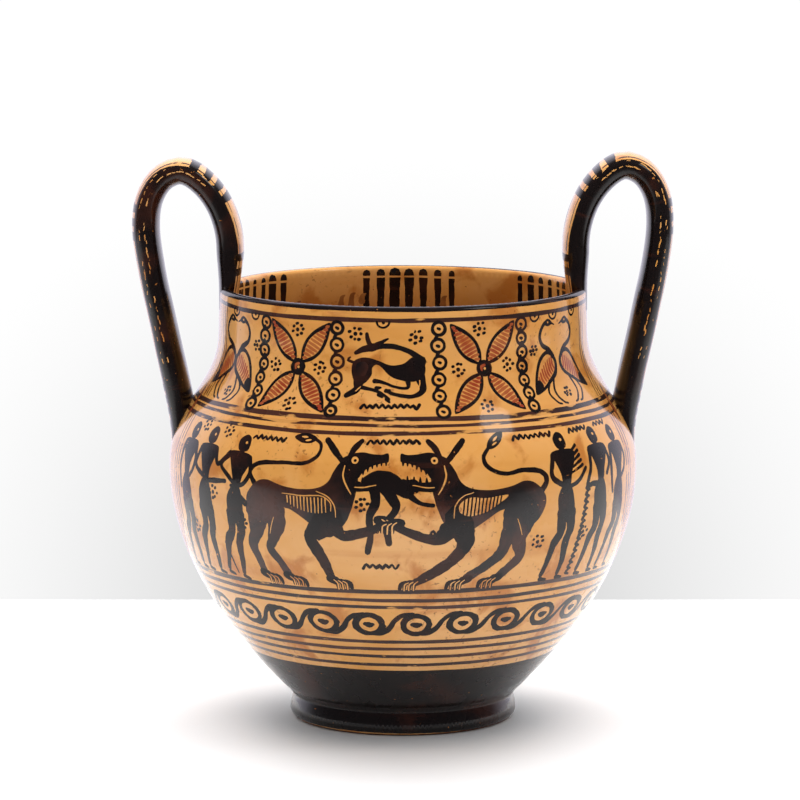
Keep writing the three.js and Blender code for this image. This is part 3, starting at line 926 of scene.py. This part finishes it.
# ---- materials ----
CLAY_GOLD = (0.70, 0.325, 0.075)
CLAY_PALE = (0.76, 0.40, 0.145)
CLAY_DEEP = (0.52, 0.185, 0.035)
CLAY_STAIN = (0.46, 0.145, 0.02)
RUST = (0.15, 0.035, 0.012)
CLAY_AMBER = (0.72, 0.32, 0.07)
# Honey brown of the inside: partly the inside's own tint, partly painted shade within the pot.
HONEY_AND_INSIDE_SHADE = (0.27, 0.078, 0.011)
SLIP_BLACK = (0.0075, 0.0045, 0.004)
SLIP_BROWN = (0.046, 0.0125, 0.0065)
LINE_BLACK = (0.016, 0.0075, 0.006)
LINE_BROWN = (0.060, 0.0185, 0.011)
RED_PAINT = (0.30, 0.038, 0.011)
DRIP_BROWN = (0.15, 0.042, 0.010)
RUN_BROWN = (0.075, 0.014, 0.006)
THIN_BROWN = (0.062, 0.018, 0.010)
BARE_DARK = (0.13, 0.035, 0.014)
BARE_PALE = (0.26, 0.09, 0.04)


class Nodes:
    """Adds nodes to one shader tree and joins them."""

    def __init__(self, tree):
        self.tree = tree

    def feed(self, socket, value):
        """Join an earlier node's output to a socket, or give the socket a plain value or colour."""
        if isinstance(value, bpy.types.NodeSocket):
            self.tree.links.new(value, socket)
        elif socket.type == "RGBA":
            socket.default_value = (*value, 1.0)
        else:
            socket.default_value = value

    def add(self, kind, inputs=None, **settings):
        node = self.tree.nodes.new(kind)
        for key, value in settings.items():
            setattr(node, key, value)
        for socket, value in (inputs or {}).items():
            self.feed(node.inputs[socket], value)
        return node

    def ramp(self, value, low, high, from_value=0.0, to_value=1.0):
        limits = {"From Min": low, "From Max": high, "To Min": from_value, "To Max": to_value}
        node = self.add("ShaderNodeMapRange", {"Value": value, **limits}, interpolation_type="SMOOTHSTEP")
        return node.outputs["Result"]

    def times(self, first, second):
        return self.add("ShaderNodeMath", {0: first, 1: second}, operation="MULTIPLY").outputs[0]

    def times_plus(self, first, second, third):
        node = self.add("ShaderNodeMath", {0: first, 1: second, 2: third}, operation="MULTIPLY_ADD")
        return node.outputs[0]

    def mix(self, share, first, second):
        """A blend of two colours; each is a colour or the output of an earlier blend."""
        return self.add("ShaderNodeMix", {"Factor": share, 6: first, 7: second}, data_type="RGBA").outputs[2]


class Look(Nodes):
    """A glossy fired surface built from noise laid on it in object space and along its brush map."""

    def __init__(self, name, roughness=0.3, coat=1.0, coat_roughness=0.06):
        self.material = bpy.data.materials.new(name)
        self.material.use_nodes = True
        super().__init__(self.material.node_tree)
        self.surface = self.tree.nodes["Principled BSDF"]
        for socket, value in (("Coat Weight", coat), ("Coat Roughness", coat_roughness), ("Coat IOR", 1.42),
                              ("Roughness", roughness), ("Specular IOR Level", 0.12)):
            self.surface.inputs[socket].default_value = value
        self.places = self.add("ShaderNodeTexCoord").outputs["Object"]
        self.brush_map = self.add("ShaderNodeUVMap", uv_map="Brush").outputs["UV"]

    def noise(self, scale, detail=3.0, along=None, distortion=0.0):
        """Noise in object space, or along the brush map when along gives its (x, y) stretch."""
        where = self.places
        if along:
            stretched = self.add("ShaderNodeMapping", {"Vector": self.brush_map, "Scale": (*along, 1)})
            where = stretched.outputs["Vector"]
        settings = {"Vector": where, "Scale": scale, "Detail": detail, "Distortion": distortion}
        return self.add("ShaderNodeTexNoise", settings).outputs["Fac"]

    def layer(self, under, over, pattern, low, high, share=1.0):
        """One colour laid over another where a pattern rises from low to high, up to a share."""
        return self.mix(self.ramp(pattern, low, high, 0.0, share), under, over)

    def brush_y(self):
        return self.add("ShaderNodeSeparateXYZ", {"Vector": self.brush_map}).outputs["Y"]

    def finish(self, colour, gloss, relief):
        """gloss is (noise, roughest, smoothest); relief is a list of (noise, height in millimetres)."""
        self.feed(self.surface.inputs["Base Color"], colour)
        value, rough, fine = gloss
        self.feed(self.surface.inputs["Roughness"], self.ramp(value, 0.3, 0.7, rough, fine))
        before = None
        for value, depth in relief:
            bump = self.add("ShaderNodeBump", {"Strength": 1.0, "Distance": depth * MM, "Height": value})
            if before:
                self.feed(bump.inputs["Normal"], before)
            before = bump.outputs["Normal"]
        for socket in ("Normal", "Coat Normal"):
            self.feed(self.surface.inputs[socket], before)
        return self.material


def clay_ground(look):
    """Golden clay with paler clouds, streaks, stains and rusty specks; amber above; inside, a honey brown
    that is partly its tint and partly painted shade.
    """
    colour = look.layer(CLAY_GOLD, CLAY_PALE, look.noise(16, 4, distortion=0.4), 0.38, 0.64)
    colour = look.layer(colour, CLAY_DEEP, look.noise(1.8, 6, along=(0.3, 4.5)), 0.5, 0.72, 0.55)
    colour = look.layer(colour, CLAY_AMBER, look.brush_y(), 0.8, 1.5, 0.5)
    colour = look.layer(colour, CLAY_STAIN, look.noise(52, 6, distortion=0.5), 0.52, 0.66, 0.8)
    cluster = look.ramp(look.noise(13, 3), 0.48, 0.62)
    speck = look.ramp(look.noise(480, 4, distortion=0.6), 0.61, 0.69, 0.0, 0.6)
    colour = look.mix(look.times(cluster, speck), colour, RUST)
    colour = look.layer(colour, RUST, look.noise(560, 2), 0.74, 0.78, 0.8)
    # Painted shade inside the pot: from the lip down, the clay darkens towards honey brown, partly a honey
    # tint.
    lip = LIP_IN / BRUSH_UNIT
    return look.layer(colour, HONEY_AND_INSIDE_SHADE, look.brush_y(), lip - 0.01, lip + 0.25, 0.85)


def fired_relief(look, grain=0.02, wheel=0.05):
    """Fine grain over the faint lines left by the wheel."""
    return [(look.noise(0.8, 3, along=(0.05, 5.0)), wheel), (look.noise(900, 3), grain)]


def worn(look, colour):
    """Slip with pinprick chips down to the clay and dull brown rubs along the brush."""
    colour = look.layer(colour, SLIP_BROWN, look.noise(2.6, 5, along=(0.6, 7.0)), 0.60, 0.70, 0.5)
    return look.layer(colour, CLAY_DEEP, look.noise(430, 4, distortion=0.4), 0.71, 0.74, 0.8)


def clay_look():
    """The unpainted ground."""
    look = Look("clay_ground")
    return look.finish(clay_ground(look), (look.noise(60, 4), 0.36, 0.22), fired_relief(look))


def slip_look():
    """Black slip, thinner and browner in patches, with red-brown runs low on the belly."""
    look = Look("black_slip", coat=0.6, coat_roughness=0.05)
    colour = look.layer(SLIP_BLACK, SLIP_BROWN, look.noise(38, 6, distortion=0.5), 0.50, 0.72, 0.8)
    run = look.ramp(look.noise(1.3, 4, along=(0.25, 3.0)), 0.48, 0.66, 0.0, 0.8)
    low = look.times(look.ramp(look.brush_y(), 0.16, 0.03), look.ramp(look.brush_y(), -0.03, 0.01))
    colour = look.mix(look.times(run, low), colour, RUN_BROWN)
    return look.finish(worn(look, colour), (look.noise(80, 4), 0.34, 0.2), fired_relief(look, 0.025))


def brushed_look(name, cover, dark, thin):
    """Slip brushed on thin: streaks run along the brush and let the clay through where it is dry."""
    look = Look(name)
    colour = look.layer(dark, thin, look.noise(2.4, 6, along=(0.5, 6.0)), 0.38, 0.62)
    dry = look.noise(7.5, 7, along=(0.8, 3.0))
    colour = look.layer(colour, clay_ground(look), dry, cover, cover + 0.07, 0.85)
    return look.finish(colour, (look.noise(80, 4), 0.36, 0.24), fired_relief(look))


def thin_slip_look():
    """The beasts' thinner slip, black and brown in patches."""
    look = Look("thin_slip")
    colour = look.layer(SLIP_BLACK, THIN_BROWN, look.noise(42, 5, distortion=0.4), 0.42, 0.68)
    return look.finish(worn(look, colour), (look.noise(80, 4), 0.36, 0.24), fired_relief(look))


def wash_look(name, share, paint_colour):
    """Thin paint brushed over the clay, thinner in patches."""
    look = Look(name)
    patch = look.ramp(look.noise(120, 5), 0.35, 0.7, share, max(0.0, share - 0.3))
    colour = look.mix(patch, clay_ground(look), paint_colour)
    return look.finish(colour, (look.noise(80, 4), 0.4, 0.28), fired_relief(look))


def bare_look():
    """Dull unglazed clay, for the standing ring and the recess under the foot."""
    look = Look("bare_clay", 0.8, coat=0.0)
    colour = look.mix(look.noise(60, 5), BARE_DARK, BARE_PALE)
    return look.finish(colour, (look.noise(200, 4), 0.85, 0.7), [(look.noise(700, 4), 0.08)])


LOOKS = [        # in the order of the colour numbers
    clay_look(), slip_look(), thin_slip_look(),
    brushed_look("dry_line", 0.55, LINE_BLACK, LINE_BROWN),
    wash_look("red_paint", 1.0, RED_PAINT), wash_look("red_wash", 0.24, RED_PAINT), bare_look(),
    brushed_look("ring_line", 0.64, LINE_BLACK, LINE_BROWN), wash_look("brown_wash", 0.85, DRIP_BROWN),
]

# ---- the pot's skin ----
foot_rows = [y + step for y in ALONG[1:foot_end] for step in (-0.3, 0.0, 0.3)]
lip_start = foot_end + len(outside_line)
rows = [SHEET_LOW, *rows_between(SHEET_LOW + 6, ALONG[1] - 2, 9.0), *foot_rows]
rows += [*rows_between(0.0, LIP_OUT, GRID), *ALONG[lip_start:lip_start + len(lip_line)]]
rows += rows_between(LIP_IN, SHEET_HIGH, GRID)[1:]
flat, faces, colours = painted_faces(paint, plain_grid(SHEET_START, SHEET_WIDTH, rows, GRID), CLAY)
skin("krater_body", flat, faces, colours, pot_surface, LOOKS, pot_bake, [
    (SHEET_LOW, (0, 0, FOOT_RECESS_Z * MM), (0, 0, -1), BARE),
    (SHEET_HIGH, (0, 0, FLOOR_Z * MM), (0, 0, 1), CLAY),
])

# ---- the handles' skins ----
PANEL_INNER = 11.4           # half width, round the girth, of the clay panel along the inner strand and top
PANEL_OUTER = 8.6            # the same down the outer strand
BAR_WIDTH = 3.3
BAR_STEP = 5.6


def paint_handle(length, path):
    """A clay panel down the outer face with groups of crossbars and a long lens between them."""
    sheet = Paint(-GIRTH / 2, GIRTH)
    origin = Spot(0.0, 0.0)
    heights = path[:, 1]
    along = np.concatenate([[0.0], np.cumsum(np.hypot(*np.diff(path, axis=0).T))])
    crest = float(along[int(np.argmax(heights))])
    ends = [(0.0, PANEL_INNER), (crest, PANEL_INNER), (crest + 34, PANEL_OUTER), (length, PANEL_OUTER - 1.5)]
    steps = np.arange(2.0, length - 1.0, 3.0)
    half = np.interp(steps, [y for y, _ in ends], [x for _, x in ends])
    left_edge = np.stack([-half + unsteady(len(steps), 0.5), steps], axis=1)
    right_edge = np.stack([half + unsteady(len(steps), 0.5), steps], axis=1)
    sheet.shape(origin, np.vstack([right_edge, left_edge[::-1]]), CLAY)
    for edge, inset in ((left_edge, 1.5), (right_edge, -1.5)):
        line = [(x + inset, y, 0.75 + 0.25 * math.sin(y / 9)) for x, y in edge[::4]]
        sheet.brush(origin, line, DRY_LINE)

    def bars(middle, count):
        for k in range(count):
            y = middle + (k - (count - 1) / 2) * BAR_STEP
            reach = float(np.interp(y, steps, half)) + 0.6
            lean = chance.uniform(-0.5, 0.5)
            sheet.brush(origin, [(-reach, y - lean, BAR_WIDTH), (0, y + 0.3, BAR_WIDTH + 0.2),
                                 (reach, y + lean, BAR_WIDTH)])

    bars(crest - 14, 4)
    bars(20.5, 2)
    bars(crest + 29, 3)
    bars(length - 22, 4)
    for low, high in ((29, crest - 25), (crest + 42, length - 38)):
        span = high - low
        widest = min(3.2, span / 8)
        lens = [(0, low), (0.8 * widest, low + 0.25 * span), (widest, low + 0.5 * span),
                (0.7 * widest, low + 0.78 * span), (0, high), (-0.8 * widest, low + 0.75 * span),
                (-widest, low + 0.5 * span), (-0.7 * widest, low + 0.22 * span)]
        sheet.blob(origin, lens)
    # Chipped flecks of clay along the strap's edges, in two broken rows each side.
    for way, girth, count in ((-1, 15.2, 54), (1, 15.2, 54), (-1, 12.4, 34), (1, 12.4, 34)):
        for k in range(count):
            y = crest - 16 + (length - 26 - crest) * (k + chance.uniform(0, 1)) / count
            if math.sin(y / 6.1 + girth) + math.sin(y / 2.3) > -0.35:
                x = way * (girth + 0.5 * math.sin(y / 14) + chance.uniform(-0.35, 0.35))
                size = chance.uniform(0.2, 0.55)
                end_x = x + chance.uniform(-0.3, 0.3)
                sheet.brush(origin, [(x, y - size * 1.8, size), (end_x, y + size * 1.8, size)], CLAY)
    return sheet


def build_handle(name, side, rise):
    """One painted strap; rise lifts its loop above the other's."""
    surface, length, path = strap(side, rise)
    sheet = paint_handle(length, path)
    grid = plain_grid(-GIRTH / 2, GIRTH, rows_between(0.0, length, 3.2), 1.7)
    flat, faces, colours = painted_faces(sheet, grid, SLIP)
    ends = []
    for level, (out, z) in ((0.0, path[0]), (length, path[-1])):
        ends.append((level, (side * out * MM, 0, z * MM), (0, 0, -1), CLAY))
    skin(name, flat, faces, colours, surface, LOOKS, strap_bake(length), ends)


build_handle("krater_left_handle", -1, HANDLE_RISE["left"])
build_handle("krater_right_handle", 1, HANDLE_RISE["right"])

# ---- studio ----
FLOOR_BACK = 0.265           # the table's far edge, behind which only the bright room shows
FLOOR_FRONT = -1.6
FLOOR_HALF = 1.6

TABLE_WHITE = (0.84, 0.84, 0.85)
CARD_GREY = (0.10, 0.10, 0.11)


def flat_sheet(name, front, back, level, fade=None):
    """A level white sheet; fade gives the two places, front to back, between which dark turns to white."""
    mesh = bpy.data.meshes.new(name)
    corners = [(-FLOOR_HALF, front), (FLOOR_HALF, front), (FLOOR_HALF, back), (-FLOOR_HALF, back)]
    mesh.from_pydata([(x, y, level) for x, y in corners], [], [(0, 1, 2, 3)])
    material = bpy.data.materials.new(name)
    material.use_nodes = True
    look = Nodes(material.node_tree)
    surface = look.tree.nodes["Principled BSDF"]
    surface.inputs["Roughness"].default_value = 0.6
    surface.inputs["Specular IOR Level"].default_value = 0.1
    white = TABLE_WHITE
    if fade:
        places = look.add("ShaderNodeTexCoord").outputs["Object"]
        axes = look.add("ShaderNodeSeparateXYZ", {"Vector": places})
        white = look.mix(look.ramp(axes.outputs["Y"], *fade), CARD_GREY, TABLE_WHITE)
    look.feed(surface.inputs["Base Color"], white)
    mesh.materials.append(material)
    sheet = bpy.data.objects.new(name, mesh)
    bpy.context.scene.collection.objects.link(sheet)
    return sheet


flat_sheet("table", FLOOR_FRONT, FLOOR_BACK, 0.0)
# A grey card in front of the pot, seen only in its gloss, keeps the black slip from going milky.
card = flat_sheet("grey_card", FLOOR_FRONT, -0.15, 0.0004, fade=(-0.75, -0.15))
card.visible_camera = False
card.visible_diffuse = False
card.visible_shadow = False

# How bright the room is from the camera's side (0) round to behind the pot (1).
ROOM = [(0.0, 0.10), (0.60, 0.12), (0.80, 1.15), (0.93, 1.2), (0.982, 1.02), (1.0, 1.02)]
# A soft darker hollow in the white behind the pot: its half sizes, its drop below eye level, its depth.
HOLLOW_WIDE = 0.15
HOLLOW_HIGH = 0.123
HOLLOW_DROP = 0.189
HOLLOW_DEPTH = -0.55
PLAIN_WHITE = (1.0, 1.0, 1.0)
LILAC = (0.96, 0.93, 1.08)   # the room's tint in the gloss

world = bpy.data.worlds.new("studio")
bpy.context.scene.world = world
world.use_nodes = True
sky = Nodes(world.node_tree)
direction = sky.add("ShaderNodeTexCoord").outputs["Generated"]
depth = sky.add("ShaderNodeSeparateXYZ", {"Vector": direction}).outputs["Y"]
behind = sky.add("ShaderNodeValToRGB", {"Fac": sky.times_plus(depth, 0.5, 0.5)})
behind.color_ramp.interpolation = "EASE"
for position, brightness in ROOM[1:-1]:
    behind.color_ramp.elements.new(position)
for element, (position, brightness) in zip(behind.color_ramp.elements, ROOM):
    element.color = (brightness, brightness, brightness, 1)
hollow_place = sky.add("ShaderNodeMapping", {
    "Vector": direction,
    "Scale": (1 / HOLLOW_WIDE, 0, 1 / HOLLOW_HIGH),
    "Location": (0, 0, HOLLOW_DROP / HOLLOW_HIGH),
}).outputs["Vector"]
hollow = sky.add("ShaderNodeTexGradient", {"Vector": hollow_place}, gradient_type="QUADRATIC_SPHERE")
hollow_share = hollow.outputs["Fac"]
# The pot is lit by the room above, but behind it shows an even white backdrop with the same soft hollow.
room_light = sky.times_plus(hollow_share, HOLLOW_DEPTH, behind.outputs["Color"])
backdrop = sky.times_plus(hollow_share, HOLLOW_DEPTH, ROOM[-1][1])
sight = sky.add("ShaderNodeLightPath").outputs
seen = sky.add("ShaderNodeMix", {"Factor": sight["Is Camera Ray"], 2: room_light, 3: backdrop}).outputs[0]
background = sky.tree.nodes["Background"]
sky.feed(background.inputs["Color"], sky.mix(sight["Is Glossy Ray"], PLAIN_WHITE, LILAC))
sky.feed(background.inputs["Strength"], seen)


def softbox(name, azimuth, elevation, distance, width, high, power, shows=True):
    """An area light aimed at the belly; azimuth is from the camera's side, positive to the right."""
    light = bpy.data.lights.new(name, "AREA")
    light.shape = "RECTANGLE"
    light.size, light.size_y = width, high
    light.energy = power
    lamp = bpy.data.objects.new(name, light)
    turn, lift = math.radians(azimuth), math.radians(elevation)
    aim = Vector((0, 0, 0.12))
    way = Vector((math.sin(turn) * math.cos(lift), -math.cos(turn) * math.cos(lift), math.sin(lift)))
    lamp.location = aim + way * distance
    lamp.rotation_euler = way.to_track_quat("Z", "Y").to_euler()
    bpy.context.scene.collection.objects.link(lamp)
    lamp.visible_camera = False
    lamp.visible_glossy = shows


softbox("key", 63, 50, 1.3, 0.3, 0.3, 1.3)
for side_name, side in (("left", -1), ("right", 1)):
    softbox(side_name + "_fill", side * 62, 30, 1.5, 0.8, 0.8, 1.6, shows=False)
    softbox(side_name + "_back", side * 142, 38, 1.6, 0.9, 0.9, 8, shows=False)
softbox("front_fill", 0, 55, 1.8, 1.2, 1.2, 11.5, shows=False)
softbox("overhead", 180, 80, 1.7, 2.0, 2.0, 42, shows=False)

CAMERA_PLACE = Vector((0, -1.8916, 0.4155))
CAMERA_AIM = Vector((0, 0, 0.14106))
camera_data = bpy.data.cameras.new("camera")
camera_data.lens = 194.4
camera_data.sensor_width = 36
camera_data.shift_x = -0.00375
camera_data.clip_end = 50
camera = bpy.data.objects.new("camera", camera_data)
camera.location = CAMERA_PLACE
camera.rotation_euler = (CAMERA_AIM - CAMERA_PLACE).to_track_quat("-Z", "Y").to_euler()
bpy.context.scene.collection.objects.link(camera)
bpy.context.scene.camera = camera
bpy.context.scene.view_settings.view_transform = "Standard"
